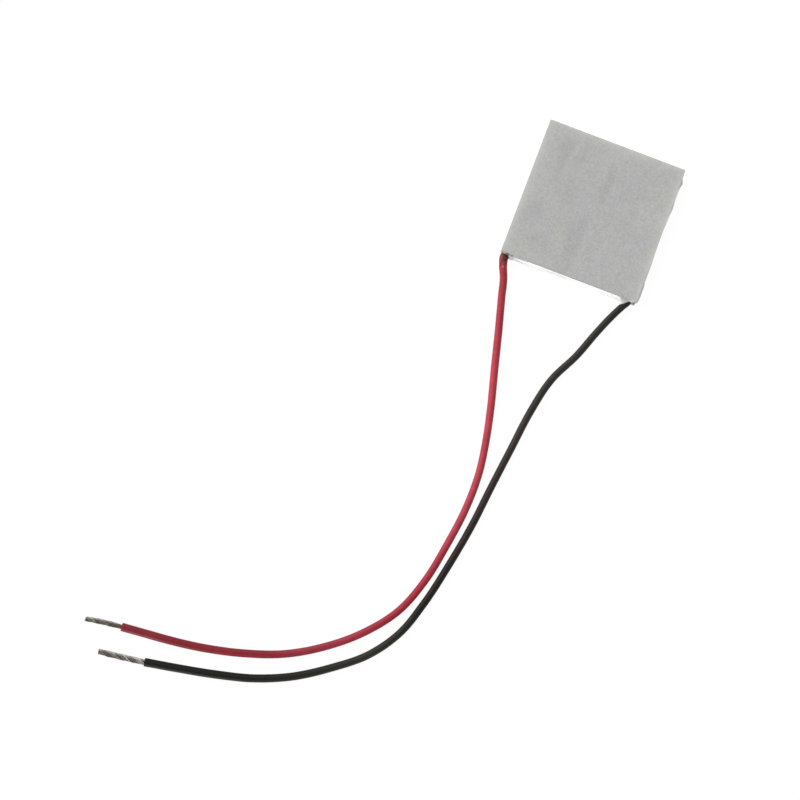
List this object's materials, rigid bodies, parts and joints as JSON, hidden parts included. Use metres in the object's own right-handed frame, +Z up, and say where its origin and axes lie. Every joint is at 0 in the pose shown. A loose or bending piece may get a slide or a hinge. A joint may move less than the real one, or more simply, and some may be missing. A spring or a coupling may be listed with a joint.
{
  "type": "thermoelectric cooling module",
  "caption": "Square solid-state heat pump: ceramic plates over a series circuit of bismuth telluride pellets, sealed rim, one red and one black lead.",
  "frame": {"origin": "middle of the hot plate's outer face, which lies on the table", "axes": "+Z up to the cold face, +Y away from the leads, the red lead on the -X side"},
  "size_m": [0.0825, 0.1366, 0.0038],
  "materials": {
    "ceramic": "matt fired alumina",
    "sealant": "cured white silicone, satin",
    "red_insulation": "smooth soft vinyl",
    "black_insulation": "smooth soft vinyl",
    "tinned_core": "tinned copper strands",
    "solder": "bright solder",
    "copper": "bare copper",
    "n_telluride": "dull grey semiconductor",
    "p_telluride": "dull dark grey semiconductor"
  },
  "bodies": {
    "root": {"hot_plate": "ceramic", "cold_plate": "ceramic", "perimeter_seal": "sealant", "pellet_solder": "solder", "red_lead": "red_insulation", "red_lead_soldered_end": "tinned_core", "red_lead_free_end": "tinned_core", "red_lead_joint": "solder", "black_lead": "black_insulation", "black_lead_soldered_end": "tinned_core", "black_lead_free_end": "tinned_core", "black_lead_joint": "solder", "hot_tabs_column_01": "copper", "hot_tabs_column_02": "copper", "hot_tabs_column_03": "copper", "hot_tabs_column_04": "copper", "hot_tabs_column_05": "copper", "hot_tabs_column_06": "copper", "hot_tabs_column_07": "copper", "hot_tabs_column_08": "copper", "hot_tabs_column_09": "copper", "hot_tabs_column_10": "copper", "hot_tabs_column_11": "copper", "hot_tabs_column_12": "copper", "cold_tabs_column_01": "copper", "cold_tabs_column_02": "copper", "cold_tabs_column_03": "copper", "cold_tabs_column_04": "copper", "cold_tabs_column_05": "copper", "cold_tabs_column_06": "copper", "cold_tabs_column_07": "copper", "cold_tabs_column_08": "copper", "cold_tabs_column_09": "copper", "cold_tabs_column_10": "copper", "cold_tabs_column_11": "copper", "cold_tabs_column_12": "copper", "n_pellets_column_01": "n_telluride", "n_pellets_column_02": "n_telluride", "n_pellets_column_03": "n_telluride", "n_pellets_column_04": "n_telluride", "n_pellets_column_05": "n_telluride", "n_pellets_column_06": "n_telluride", "n_pellets_column_07": "n_telluride", "n_pellets_column_08": "n_telluride", "n_pellets_column_09": "n_telluride", "n_pellets_column_10": "n_telluride", "n_pellets_column_11": "n_telluride", "n_pellets_column_12": "n_telluride", "p_pellets_column_01": "p_telluride", "p_pellets_column_02": "p_telluride", "p_pellets_column_03": "p_telluride", "p_pellets_column_04": "p_telluride", "p_pellets_column_05": "p_telluride", "p_pellets_column_06": "p_telluride", "p_pellets_column_07": "p_telluride", "p_pellets_column_08": "p_telluride", "p_pellets_column_09": "p_telluride", "p_pellets_column_10": "p_telluride", "p_pellets_column_11": "p_telluride", "p_pellets_column_12": "p_telluride"}
  },
  "joints": []
}
